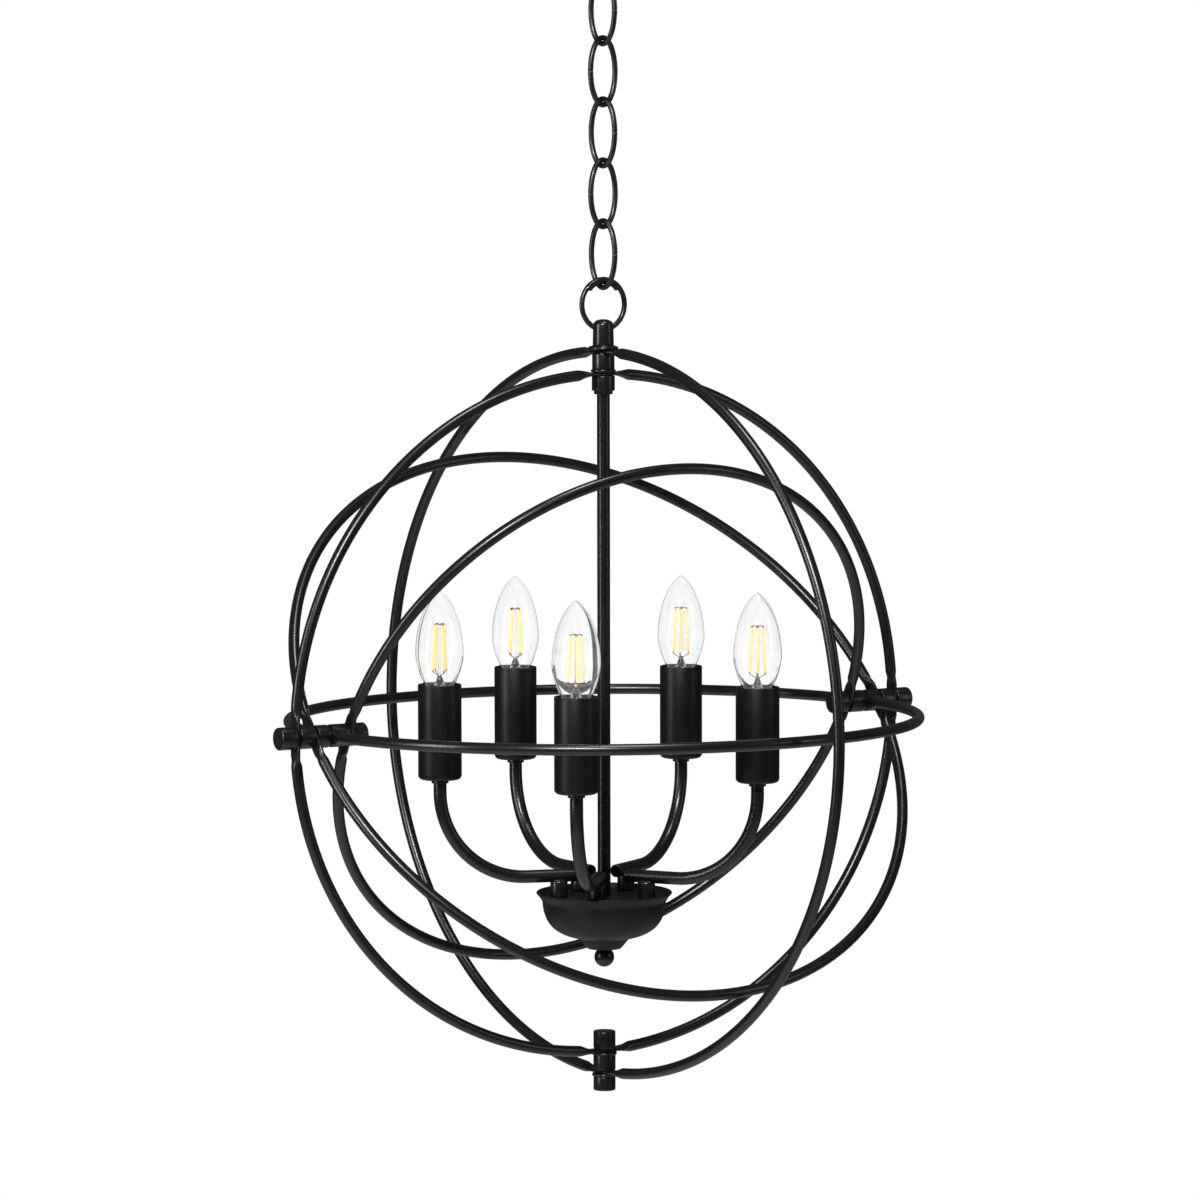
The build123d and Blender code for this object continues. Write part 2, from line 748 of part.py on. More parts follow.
def socket_sleeve(plane):
    outer, inner = sleeve_diameter / 2, sleeve_diameter / 2 - sleeve_wall
    hole = round_hole(arm_tube, tube_sides)
    outline = [
        (hole, 0),
        (outer - sleeve_bevel, 0),
        (outer, sleeve_bevel),
        (outer, sleeve_length),
        (inner, sleeve_length),
        (inner, sleeve_floor),
        (hole, sleeve_floor),
    ]
    return faceted(plane, outline, sleeve_sides, hollow=True)


def sleeve_washer(plane):
    outer, hole = sleeve_washer_diameter / 2, round_hole(arm_tube, tube_sides)
    height = -sleeve_washer_height
    outline = [(hole, 0), (outer, 0), (outer, height), (hole, height)]
    return faceted(plane, outline, tube_sides, hollow=True)


glass_foot = glass_outline[0][1]
holder_length = sleeve_length - arm_end_rise + glass_foot - 2 * fit
holder_bore_depth = bulb_base_length + bulb_base_room


def lampholder(plane):
    bore = bulb_base_diameter / 2 + bulb_base_play
    outline = [
        (bore, holder_length - holder_bore_depth),
        (bore, holder_length),
        (holder_diameter / 2, holder_length),
        (holder_diameter / 2, 0),
    ]
    return faceted(plane, outline, turned_sides)


def bulb_base(plane):
    start = plane.offset(glass_foot - fit - bulb_base_length)
    return pin_between(start, bulb_base_length, bulb_base_diameter)


glass_inside = [(radius - glass_wall, height) for radius, height in glass_outline[1:-1:2]]


def glass_envelope(plane):
    """Thin glass in the shape of a candle's flame, sealed at its foot."""
    with BuildPart() as glass:
        add(faceted(plane, glass_outline, glass_sides))
        add(faceted(plane, glass_inside, glass_sides), mode=Mode.SUBTRACT)
    return glass.part


def glass_stem(plane):
    """Foot of glass inside the bulb, drawn out to the rod that carries the filaments."""
    foot, rod = glass_stem_diameter / 2, glass_rod_diameter / 2
    start = glass_inside[0][1] + fit
    top = filament_start + filament_length
    outline = [(foot, start), (rod, start + glass_stem_flare), (rod, top)]
    return faceted(plane, outline, tube_sides)


def filaments(plane):
    """Four sticks, joined at their tops by the crossed wires on the glass rod."""
    top = filament_start + filament_length
    with BuildPart() as sticks:
        with BuildSketch(plane.offset(filament_start)):
            with PolarLocations(filament_spread, 4):
                Rectangle(filament_size, filament_size)
        extrude(amount=filament_length)
        with BuildSketch(plane.offset(top)):
            Rectangle(2 * filament_spread + filament_size, filament_size)
            Rectangle(filament_size, 2 * filament_spread + filament_size)
        extrude(amount=support_thickness)
    return sticks.part


save(at_each_lamp(socket_sleeve, sleeve_z), "socket_sleeves")
save(at_each_lamp(sleeve_washer, sleeve_z - fit), "sleeve_washers")
save(at_each_lamp(lampholder, sleeve_z + arm_end_rise + fit), "lampholders")
save(at_each_lamp(bulb_base, sleeve_top_z), "bulb_bases")
save(at_each_lamp(glass_stem, sleeve_top_z), "bulb_stems")
save(at_each_lamp(filaments, sleeve_top_z), "bulb_filaments")
for number, azimuth in enumerate(arm_azimuths, start=1):
    save(glass_envelope(around(azimuth, arm_reach, sleeve_top_z)), f"bulb_glass_{number}")
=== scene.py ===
from math import acos, cos, exp, pi, radians, sin, sqrt

import bmesh
import bpy
from mathutils import Matrix, Vector


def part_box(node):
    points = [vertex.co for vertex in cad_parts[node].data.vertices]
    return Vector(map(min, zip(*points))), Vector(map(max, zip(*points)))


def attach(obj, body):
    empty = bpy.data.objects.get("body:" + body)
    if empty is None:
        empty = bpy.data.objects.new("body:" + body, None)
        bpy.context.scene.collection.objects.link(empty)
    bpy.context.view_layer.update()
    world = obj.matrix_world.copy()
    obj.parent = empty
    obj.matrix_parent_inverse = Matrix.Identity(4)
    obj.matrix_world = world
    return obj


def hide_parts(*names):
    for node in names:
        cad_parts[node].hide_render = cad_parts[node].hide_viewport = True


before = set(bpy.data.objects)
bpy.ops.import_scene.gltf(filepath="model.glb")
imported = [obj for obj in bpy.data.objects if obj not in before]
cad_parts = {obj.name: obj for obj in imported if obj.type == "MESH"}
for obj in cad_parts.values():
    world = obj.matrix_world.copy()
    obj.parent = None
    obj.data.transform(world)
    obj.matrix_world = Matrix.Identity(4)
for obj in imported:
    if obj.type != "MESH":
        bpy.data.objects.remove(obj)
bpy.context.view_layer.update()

# The chandelier is in millimetres, as in the CAD part, and Form.make turns it into metres.
# The lights and the floor are in metres.
MM = 0.001
AXIS_X, AXIS_Z = Vector((1, 0, 0)), Vector((0, 0, 1))


def middle_of(node):
    """Middle of a CAD node's box, in millimetres."""
    low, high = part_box(node)
    return (low + high) / 2 / MM


orb = middle_of("inner_pin_caps")


def at(origin, z_dir=AXIS_Z, x_dir=AXIS_X):
    """Matrix of a place whose Z is the turning axis of what stands there."""
    z = Vector(z_dir).normalized()
    if abs(z.dot(x_dir)) > 0.99:
        x_dir = AXIS_Z if abs(z.z) < 0.9 else AXIS_X
    x = (Vector(x_dir) - z * z.dot(x_dir)).normalized()
    y = z.cross(x)
    m = Matrix((x, y, z)).transposed().to_4x4()
    m.translation = Vector(origin)
    return m


def upright(z):
    """Place at a height of the chandelier's upright axis."""
    return at(Vector((0, 0, z)))


def level(angle):
    """Level direction at an angle from +X, in radians."""
    return Vector((cos(angle), sin(angle), 0))


def mix(a, b, share):
    return a + (b - a) * share


def eased_step(t):
    t = min(1, max(0, t))
    return t * t * (3 - 2 * t)


# ---------------------------------------------------------------- mesh building
class Form:
    """Points and faces of one piece."""

    def __init__(self):
        self.points, self.faces = [], []

    def skin(self, rows, closed=False, ends=True):
        """Surface through rows of points; a row of one point is a pole."""
        starts = []
        for row in rows:
            starts.append(len(self.points))
            self.points += row
        pairs = list(zip(range(len(rows)), range(1, len(rows))))
        if closed:
            pairs.append((len(rows) - 1, 0))
        for a, b in pairs:
            na, nb, sa, sb = len(rows[a]), len(rows[b]), starts[a], starts[b]
            for i in range(max(na, nb)):
                j = (i + 1) % max(na, nb)
                if na == 1:
                    self.faces.append((sa, sb + i, sb + j))
                elif nb == 1:
                    self.faces.append((sa + i, sb, sa + j))
                else:
                    self.faces.append((sa + i, sb + i, sb + j, sa + j))
        if ends and not closed:
            for k in (0, -1):
                if len(rows[k]) > 2:
                    self.faces.append(tuple(range(starts[k], starts[k] + len(rows[k]))))

    def turned(self, place, outline, segments=48, closed=False):
        """Turned form round a place's Z, from (radius, height) points."""
        rows = []
        for radius, height in outline:
            if radius < 1e-6:
                rows.append([place @ Vector((0, 0, height))])
                continue
            turns = [2 * pi * i / segments for i in range(segments)]
            rows.append([place @ Vector((radius * cos(t), radius * sin(t), height)) for t in turns])
        self.skin(rows, closed, ends=not closed)

    def swept(self, stations, side_dir, section, closed=False):
        """Section along a flat path; a station is (point, tangent, size for the section)."""
        rows = []
        for point, tangent, size in stations:
            outward = tangent.cross(side_dir).normalized()
            rows.append([point + outward * a + side_dir * b for a, b in section(size)])
        self.skin(rows, closed)

    def make(self, name, look, body, *nodes, sharp=40):
        """The piece, riding on its body in place of the CAD nodes."""
        mesh = bpy.data.meshes.new(name)
        mesh.from_pydata([p * MM for p in self.points], [], self.faces)
        bm = bmesh.new()
        bm.from_mesh(mesh)
        bmesh.ops.recalc_face_normals(bm, faces=bm.faces)
        bm.to_mesh(mesh)
        bm.free()
        mesh.shade_smooth()
        mesh.set_sharp_from_angle(angle=radians(sharp))
        obj = bpy.data.objects.new(name, mesh)
        bpy.context.scene.collection.objects.link(obj)
        mesh.materials.append(looks[look])
        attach(obj, body)
        if nodes:
            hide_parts(*nodes)
        return obj


def turned_piece(node, look, body, place, outline, segments=48, closed=False, sharp=40):
    """A piece that is one turned form."""
    form = Form()
    form.turned(place, outline, segments, closed)
    form.make(node + "_look", look, body, node, sharp=sharp)


EASE_SHARE = 0.45


def eased(outline, radius=0.4, closed=False, steps=3):
    """The outline with its corners rounded, over less than half of each edge."""
    rounded = []
    count = len(outline)
    for i, (r, h) in enumerate(outline):
        if not closed and i in (0, count - 1):
            rounded.append((r, h))
            continue
        p = Vector((r, h))
        a, b = Vector(outline[i - 1]) - p, Vector(outline[(i + 1) % count]) - p
        reach = min(radius, a.length * EASE_SHARE, b.length * EASE_SHARE)
        start, end = p + a.normalized() * reach, p + b.normalized() * reach
        for k in range(steps + 1):
            t = k / steps
            q = start * (1 - t) ** 2 + p * 2 * t * (1 - t) + end * t * t
            rounded.append((max(q.x, 0), q.y))
    return rounded


def flowing(points, steps=6):
    """Smooth line through the points."""
    pts = [Vector(p) for p in points]
    line = []
    for i in range(len(pts) - 1):
        p0, p1 = pts[max(i - 1, 0)], pts[i]
        p2, p3 = pts[i + 1], pts[min(i + 2, len(pts) - 1)]
        for k in range(steps):
            t = k / steps
            q = 0.5 * (2 * p1 + (p2 - p0) * t + (2 * p0 - 5 * p1 + 4 * p2 - p3) * t * t
                       + (3 * p1 - p0 - 3 * p2 + p3) * t ** 3)
            line.append((q.x, q.y))
    line.append((pts[-1].x, pts[-1].y))
    return line


def direction_along(line, i):
    """Direction of a line of (radius, height) points at its point i."""
    before, after = Vector(line[max(i - 1, 0)]), Vector(line[min(i + 1, len(line) - 1)])
    return (after - before).normalized()


def rounded_foot(radius, height, corner, steps):
    """Quarter-round corner of an outline, from its level foot to its upright side."""
    turns = [pi / 2 * k / steps for k in range(steps + 1)]
    return [(radius - corner + corner * sin(t), height + corner - corner * cos(t)) for t in turns]


def round_section(sides):
    turns = [2 * pi * i / sides for i in range(sides)]
    return lambda radius: [(radius * cos(t), radius * sin(t)) for t in turns]


PRESSED_SIDES = 24


def pressed_section(size):
    """Tube pressed flat by a share: a softened rectangle as wide as the flat grows."""
    thickness, width, power = size
    points = []
    for i in range(PRESSED_SIDES):
        t = 2 * pi * (i + 0.5) / PRESSED_SIDES
        c, s = cos(t), sin(t)
        points.append((thickness / 2 * abs(c) ** (2 / power) * (1 if c > 0 else -1),
                       width / 2 * abs(s) ** (2 / power) * (1 if s > 0 else -1)))
    return points


# ---------------------------------------------------------------- materials
looks = {}
NOISE_BAND = (0.3, 0.7)
BLACK, WHITE = (0.0, 0.0, 0.0), (1.0, 1.0, 1.0)


class Nodes:
    """A node tree, and the few kinds of nodes that the looks here are made of."""

    def __init__(self, owner):
        owner.use_nodes = True
        self.nodes, self.links = owner.node_tree.nodes, owner.node_tree.links

    def feed(self, socket, value):
        """Feeds an input from another node's output, or sets it to a plain value."""
        if isinstance(value, bpy.types.NodeSocket):
            self.links.new(value, socket)
        else:
            socket.default_value = value

    def fill(self, node, **inputs):
        """Feeds inputs by their names, with _ for a space."""
        for name, value in inputs.items():
            self.feed(node.inputs[name.replace("_", " ")], value)

    def add(self, kind, **inputs):
        node = self.nodes.new("ShaderNode" + kind)
        self.fill(node, **inputs)
        return node

    def coords(self):
        return self.add("TexCoord").outputs["Object"]

    def stretched(self, coords, scale):
        return self.add("Mapping", Scale=scale, Vector=coords).outputs["Vector"]

    def noise(self, coords, scale, detail=4, roughness=0.55):
        made = self.add("TexNoise", Scale=scale, Detail=detail, Roughness=roughness, Vector=coords)
        return made.outputs["Fac"]

    def ramp(self, value, low, high, dark, light):
        made = self.add("ValToRGB", Fac=value)
        first, last = made.color_ramp.elements
        first.position, last.position = low, high
        first.color, last.color = (*dark, 1), (*light, 1)
        return made.outputs["Color"]

    def map_range(self, value, source, target):
        made = self.add("MapRange", From_Min=source[0], From_Max=source[1],
                        To_Min=target[0], To_Max=target[1], Value=value)
        return made.outputs["Result"]

    def bump(self, height, strength, distance, under=None):
        made = self.add("Bump", Strength=strength, Distance=distance, Height=height)
        if under is not None:
            self.fill(made, Normal=under)
        return made.outputs["Normal"]

    def maths(self, operation, first, second):
        made = self.add("Math")
        made.operation = operation
        self.feed(made.inputs[0], first)
        self.feed(made.inputs[1], second)
        return made.outputs[0]

    def mixed_shaders(self, share, under, over):
        made = self.add("MixShader", Fac=share)
        self.feed(made.inputs[1], under)
        self.feed(made.inputs[2], over)
        return made.outputs[0]


def material(name):
    mat = bpy.data.materials.new(name)
    look = Nodes(mat)
    looks[name] = mat
    return look, look.nodes["Principled BSDF"]


# Noise scales of the powder coat, and how much lighter its specks are than its tone.
CLOUD_SCALE, GRAIN_SCALE, PEEL_SCALE = 55, 1500, 320
SPECK_GAIN, SPECK_LIFT = 1.6, 0.001
PEEL_DEPTH, GRAIN_DEPTH = 0.0004, 0.0002


def painted(name, dark, light, rough, grain, peel, specular=0.35):
    """Powder coat: fine grain, a little orange peel, and uneven depth and sheen."""
    look, shader = material(name)
    coords = look.coords()
    cloud = look.noise(coords, CLOUD_SCALE, 3)
    fine = look.noise(coords, GRAIN_SCALE, 2, 0.6)
    waves = look.noise(coords, PEEL_SCALE, 2)
    tone = look.ramp(cloud, 0.3, 0.72, dark, light)
    speck = look.ramp(fine, 0.42, 0.78, BLACK, WHITE)
    speck_colour = [min(1, c * SPECK_GAIN + SPECK_LIFT) for c in light]
    blend = look.add("Mix")
    blend.data_type = "RGBA"
    look.fill(blend, Factor=speck, A=tone, B=(*speck_colour, 1))
    under = look.bump(waves, peel, PEEL_DEPTH)
    look.fill(shader, Base_Color=blend.outputs["Result"],
              Roughness=look.map_range(fine, NOISE_BAND, rough), Specular_IOR_Level=specular,
              Normal=look.bump(fine, grain, GRAIN_DEPTH, under))


def plated(name, dark, light, rough, metallic=1.0, streaks=(6, 6, 900)):
    """Plated metal with fine drawn streaks and small clouding."""
    look, shader = material(name)
    coords = look.coords()
    drawn = look.noise(look.stretched(coords, streaks), 1.0, 3)
    cloud = look.noise(coords, 140, 4)
    look.fill(shader, Base_Color=look.ramp(cloud, *NOISE_BAND, dark, light),
              Roughness=look.map_range(drawn, NOISE_BAND, rough),
              Normal=look.bump(drawn, 0.15, 0.0002), Metallic=metallic)


def clear_glass(name, tint, rough):
    """Clear glass with faint draw lines along the blown form."""
    look, shader = material(name)
    lines = look.noise(look.stretched(look.coords(), (160, 160, 18)), 1.0, 2)
    look.fill(shader, Base_Color=look.ramp(lines, 0.2, 0.8, tint, WHITE),
              Normal=look.bump(lines, 0.04, 0.0003), Transmission_Weight=1.0,
              Roughness=rough, IOR=1.46)


def coated_filament(name, dark, light):
    """Beaded yellow coat that glows a little, so that it keeps its colour in the glass."""
    look, shader = material(name)
    beads = look.noise(look.coords(), 900, 2)
    glow = look.ramp(beads, *NOISE_BAND, dark, light)
    look.fill(shader, Base_Color=glow, Emission_Color=glow, Normal=look.bump(beads, 0.4, 0.0002),
              Emission_Strength=0.35, Roughness=0.45)


painted("black_coat", (0.0015, 0.0018, 0.0020), (0.0036, 0.0041, 0.0044),
        rough=(0.24, 0.33), grain=0.10, peel=0.05)
painted("black_chain", (0.0015, 0.0017, 0.0018), (0.0038, 0.0042, 0.0044),
        rough=(0.26, 0.36), grain=0.12, peel=0.06)
painted("black_pressing", (0.0016, 0.0018, 0.0019), (0.0034, 0.0038, 0.0038),
        rough=(0.42, 0.52), grain=0.18, peel=0.06, specular=0.20)
painted("black_sleeve", (0.0006, 0.0009, 0.0012), (0.0018, 0.0024, 0.0030),
        rough=(0.36, 0.44), grain=0.22, peel=0.06, specular=0.18)
painted("holder_plastic", (0.012, 0.011, 0.010), (0.022, 0.021, 0.020),
        rough=(0.38, 0.5), grain=0.1, peel=0.1)
plated("zinc_steel", (0.52, 0.53, 0.52), (0.66, 0.67, 0.66), rough=(0.26, 0.42))
plated("bulb_cap", (0.55, 0.53, 0.47), (0.72, 0.70, 0.64), rough=(0.2, 0.34), streaks=(40, 40, 600))
plated("filament_wire", (0.10, 0.045, 0.03), (0.22, 0.11, 0.07), rough=(0.3, 0.5), metallic=0.85)
clear_glass("bulb_glass", (0.975, 0.98, 0.98), rough=0.0)
clear_glass("stem_glass", (0.93, 0.95, 0.95), rough=0.02)
coated_filament("filament", (0.92, 0.56, 0.16), (1.0, 0.76, 0.34))

# ---------------------------------------------------------------- rings
RING_TUBE = 8.0
PAD_THICKNESS, PAD_WIDTH, PAD_REACH, PINCH = 2.4, 12.0, 11.0, 10.0
# Powers of the pressed section: round tube, squeezed tube, and flat pad.
ROUND_POWER, SQUEEZED_POWER, PAD_POWER, WIDENING = 2.0, 1.75, 4.0, 1.4
OUTER_TURN, LARGE_TILT, MIDDLE_TILT, SMALL_TILT = -82.6, 49.2, -0.5, 119.3
OUTER_SIDE, OUTER_TOP, OUTER_BOTTOM = 257.0, 266.5, 260.3
FRAME_SIDE, FRAME_TOP, FRAME_BOTTOM = 255.5, 250.5, 244.6
LARGE, MIDDLE, SMALL = 241.5, 229.3, 213.9
# Steps of the sweep, along the tube from each pin, and about as far apart as this elsewhere.
NEAR_PIN = (0, 5, 9, 10.4, 11, 11.6, 12.4, 13.4, 14.6, 16, 17.4, 18.8, 20, 21, 22.2, 24, 27)
RUN_STEP = 5


def section_power(press):
    if press < 0.5:
        return mix(ROUND_POWER, SQUEEZED_POWER, 2 * press)
    return mix(SQUEEZED_POWER, PAD_POWER, 2 * press - 1)


def ring(node, body, across, up, side, top, bottom, pins):
    """Tube ring, pressed flat at its pins; the pins are angles in its plane."""

    def on_oval(angle):
        c, s = cos(angle), sin(angle)
        pole = top if s >= 0 else bottom
        return (across * side * c + up * pole * s,
                (up * pole * c - across * side * s).normalized())

    near = [d / side for d in NEAR_PIN]
    angles = []
    for pin, following in zip(pins, pins[1:] + [pins[0] + 360]):
        first, last = radians(pin), radians(following)
        runs = round((last - first) * side / RUN_STEP)
        a, b = first + near[-1], last - near[-1]
        angles += [(first + d, first) for d in near]
        angles += [(mix(a, b, k / runs), None) for k in range(1, runs)]
        angles += [(last - d, last) for d in reversed(near[1:])]
    stations = []
    for angle, pin in angles:
        point, tangent = on_oval(angle)
        size = (RING_TUBE, RING_TUBE, ROUND_POWER)
        if pin is not None:
            s = (angle - pin) * side
            flat = (PAD_REACH + PINCH - abs(s)) / PINCH
            place, along = on_oval(pin)
            straight = eased_step(flat)
            point = mix(point, place + along * s, straight)
            tangent = mix(tangent, along, straight).normalized()
            press = min(1, max(0, flat))
            size = (mix(RING_TUBE, PAD_THICKNESS, press),
                    mix(RING_TUBE, PAD_WIDTH, press ** WIDENING), section_power(press))
        stations.append((orb + point, tangent, size))
    form = Form()
    form.swept(stations, across.cross(up), pressed_section, closed=True)
    form.make(node + "_look", "black_coat", body, node, sharp=32)


def tilted_up(angle):
    return Vector((0, cos(radians(angle)), sin(radians(angle))))


ring("outer_ring", "outer_ring", level(radians(OUTER_TURN)), AXIS_Z,
     OUTER_SIDE, OUTER_TOP, OUTER_BOTTOM, [90, 270])
ring("frame_ring", "lamp_frame", AXIS_X, AXIS_Z,
     FRAME_SIDE, FRAME_TOP, FRAME_BOTTOM, [0, 90, 180, 270])
for node, body, tilt, radius in (("large_tilt_ring", "large_ring", LARGE_TILT, LARGE),
                                 ("middle_tilt_ring", "middle_ring", MIDDLE_TILT, MIDDLE),
                                 ("small_tilt_ring", "small_ring", SMALL_TILT, SMALL)):
    ring(node, body, AXIS_X, tilted_up(tilt), radius, radius, radius, [0, 180])

# ---------------------------------------------------------------- caps, spacers and washers
FIT = 0.1
HALF_PAD = PAD_THICKNESS / 2
SPACER_RADIUS, CAP_RADIUS, WASHER_RADIUS = 8.15, 8.1, 9.1
SPACER_EASE, CAP_EASE, WASHER_EASE = 0.5, 0.9, 0.7
OUTER_CAP, INNER_CAP, CROWN_CAP, FOOT_CAP, WASHER = 12.7, 12.0, 13.0, 10.4, 2.0


def bushes(node, radius, spans, ease):
    """Solid bushes; a span is (place, length), and the pin fills each bore."""
    form = Form()
    for place, length in spans:
        form.turned(place, eased([(0, 0), (radius, 0), (radius, length), (0, length)], ease))
    form.make(node + "_look", "black_coat", "lamp_frame", node)


def beside(start, end):
    """Spans at both ends of the pin axis, between two radii."""
    return [(at(orb + AXIS_X * side * start, AXIS_X * side), end - start) for side in (-1, 1)]


def between_rings(inner, outer):
    return beside(inner + HALF_PAD + FIT, outer - HALF_PAD - FIT)


bushes("outer_tilt_spacers", SPACER_RADIUS, between_rings(LARGE, FRAME_SIDE), SPACER_EASE)
bushes("middle_tilt_spacers", SPACER_RADIUS, between_rings(MIDDLE, LARGE), SPACER_EASE)
bushes("inner_tilt_spacers", SPACER_RADIUS, between_rings(SMALL, MIDDLE), SPACER_EASE)
outer_start = FRAME_SIDE + HALF_PAD + FIT
inner_end = SMALL - HALF_PAD - FIT
bushes("outer_pin_caps", CAP_RADIUS, beside(outer_start, outer_start + OUTER_CAP), CAP_EASE)
bushes("inner_pin_caps", CAP_RADIUS, beside(inner_end - INNER_CAP, inner_end), CAP_EASE)


def upright_span(bottom, top):
    return (upright(bottom), top - bottom)


frame_top = orb.z + FRAME_TOP + HALF_PAD
outer_top = orb.z + OUTER_TOP - HALF_PAD
frame_bottom = orb.z - FRAME_BOTTOM - HALF_PAD
outer_bottom = orb.z - OUTER_BOTTOM + HALF_PAD
lowest = outer_bottom - PAD_THICKNESS
bushes("pole_washers", WASHER_RADIUS, [
    upright_span(frame_top + FIT, frame_top + FIT + WASHER),
    upright_span(frame_bottom - FIT - WASHER, frame_bottom - FIT),
    upright_span(lowest - FIT - WASHER, lowest - FIT)], WASHER_EASE)
bushes("pole_spacers", SPACER_RADIUS, [
    upright_span(frame_top + WASHER + 2 * FIT, outer_top - FIT),
    upright_span(outer_bottom + FIT, frame_bottom - WASHER - 2 * FIT)], SPACER_EASE)
crown = orb.z - FRAME_BOTTOM + HALF_PAD + FIT
foot = lowest - WASHER - 2 * FIT
bushes("pole_caps", CAP_RADIUS, [
    upright_span(crown, crown + CROWN_CAP), upright_span(foot - FOOT_CAP, foot)], CAP_EASE)

# ---------------------------------------------------------------- loops and chain
LOOP_RISE, LOOP_OUTSIDE, LOOP_WIRE, CROWN_WIRE = 29.3, 20.0, 3.8, 5.5
# In degrees from the middle of the thick crown: where it ends, and where it swells a little.
CROWN_END, CROWN_FADE = 52, 6
SWELL_AT, SWELL_REACH, SWELL_RISE = 45, 3.5, 0.35
LOOP_STEPS, LINK_STEPS, WIRE_SIDES = 120, 144, 20
BARREL = [(0, 0), (7.7, 0), (7.4, 13.6), (7.3, 15.2), (6.6, 16.5), (5.2, 17.6), (3.2, 18.4), (0, 18.7)]
FLANGE_DROP = 3.7
FLANGE = [(3.6, 0), (10.0, 0), (10.9, 0.7), (11.1, 1.6), (10.6, 2.5), (9.4, 2.9), (8.3, 3.2),
          (8.0, 3.6), (3.6, 3.6)]
CHAIN_TURN = radians(12)


def screw_loop(node, body, place):
    """Cast loop: ring with a thick crown, run into a domed barrel."""
    ring_middle = place @ Vector((0, 0, LOOP_RISE))
    x_dir, z_dir = place.to_3x3().col[0], place.to_3x3().col[2]
    stations = []
    for i in range(LOOP_STEPS):
        a = 2 * pi * i / LOOP_STEPS
        away = abs((i * 360 / LOOP_STEPS + 180) % 360 - 180)
        thick = eased_step((CROWN_END - away) / CROWN_FADE)
        swell = SWELL_RISE * exp(-((away - SWELL_AT) / SWELL_REACH) ** 2)
        wire = mix(LOOP_WIRE, CROWN_WIRE, thick) + swell
        out = z_dir * cos(a) + x_dir * sin(a)
        tangent = -z_dir * sin(a) + x_dir * cos(a)
        stations.append((ring_middle + out * (LOOP_OUTSIDE - wire / 2), tangent, wire / 2))
    form = Form()
    form.swept(stations, z_dir.cross(x_dir), round_section(WIRE_SIDES), closed=True)
    form.turned(place, eased(BARREL, 0.5))
    form.make(node + "_look", "black_coat", body, node, sharp=50)


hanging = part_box("hanging_loop")[0].z / MM
screw_loop("hanging_loop", "lamp_frame", upright(hanging))
ceiling_foot = Vector((0, 0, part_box("ceiling_loop")[1].z / MM))
screw_loop("ceiling_loop", "ceiling_fitting", at(ceiling_foot, -AXIS_Z, level(CHAIN_TURN)))
turned_piece("loop_flange", "black_coat", "lamp_frame", upright(hanging - FLANGE_DROP),
             eased(FLANGE, 0.4))

LINKS = 5
LINK_SIDE, LINK_POLE, LINK_WIRE = 12.2, 24.1, 4.0
# The weld: a thin ridge of flash beside a narrow seam, with the sweep's steps drawn closer to it.
FLASH_RISE, FLASH_AT, FLASH_REACH = 0.10, 0.9, 0.6
SEAM_DEPTH, SEAM_REACH, CLOSER = 0.34, 0.45, 0.55
FAR = 99
for number in range(1, LINKS + 1):
    node = f"chain_link_{number}"
    across = level(CHAIN_TURN + radians(90 * ((LINKS - number + 1) % 2)))
    middle = middle_of(node)
    stations = []
    for i in range(LINK_STEPS):
        u = 2 * pi * i / LINK_STEPS
        a = pi + u - CLOSER * sin(u)
        place = across * LINK_SIDE * cos(a) + AXIS_Z * LINK_POLE * sin(a)
        tangent = (-across * LINK_SIDE * sin(a) + AXIS_Z * LINK_POLE * cos(a)).normalized()
        away = abs(place.z) if place.dot(across) < 0 else FAR
        flash = FLASH_RISE * exp(-((away - FLASH_AT) / FLASH_REACH) ** 2)
        seam = SEAM_DEPTH * exp(-(away / SEAM_REACH) ** 2)
        stations.append((middle + place, tangent, LINK_WIRE / 2 + flash - seam))
    form = Form()
    form.swept(stations, across.cross(AXIS_Z), round_section(WIRE_SIDES), closed=True)
    form.make(node + "_look", "black_chain", f"link_{number}", node, sharp=60)

# ---------------------------------------------------------------- hub, stem and dish
COLLAR = [(0, 0), (8.4, 0), (8.4, -10.8), (6.85, -10.8), (6.85, -13.4), (4.9, -13.4), (4.9, -8.4),
          (0, -8.4)]
turned_piece("stem_collar", "black_coat", "lamp_frame", upright(orb.z + FRAME_TOP - HALF_PAD - FIT),
             eased(COLLAR, 0.5))

STEM_RADIUS = 4.75
plate, stem_top = (corner.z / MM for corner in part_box("stem"))
turned_piece("stem", "black_coat", "lamp_frame", upright(0), [
    (0, plate), (STEM_RADIUS, plate), (STEM_RADIUS, mix(plate, stem_top, 0.5)),
    (STEM_RADIUS, stem_top), (0, stem_top)], 32)

# Heights of the dish are from its rim. Its inner surface is raised less past RIM_INSIDE.
DISH_DROP, DISH_WALL, RIM_WALL, RIM_INSIDE = 127.6, 1.2, 0.4, 40
DISH_FOOT, DISH_HOLE = -41.8, 3.4
ROLLED_RIM = [(49.6, -0.5), (49.5, -1.2), (48.2, -2.6), (46.4, -4.9), (45.7, -6.2)]
BOWL = [(45.2, -7.4), (44.9, -10.5), (43.9, -15.5), (41.4, -21.5), (37.0, -26.8), (30.5, -30.8),
        (23.5, -33.2), (18.7, -34.1)]
BOSS = [(18.1, -34.5), (17.9, -35.2), (12.9, -41.2), (12.2, DISH_FOOT)]
rim = orb.z - DISH_DROP
outside = ROLLED_RIM + flowing(BOWL) + BOSS
inside = [(r - DISH_WALL, h + (DISH_WALL if r < RIM_INSIDE else RIM_WALL))
          for r, h in reversed(outside[:-2])]
foot_inside = DISH_FOOT + DISH_WALL
profile = [(49.0, 0)] + outside
profile += [(DISH_HOLE, DISH_FOOT), (DISH_HOLE, foot_inside), (11.6, foot_inside)]
profile += inside[:-1] + [(48.2, -0.5)]
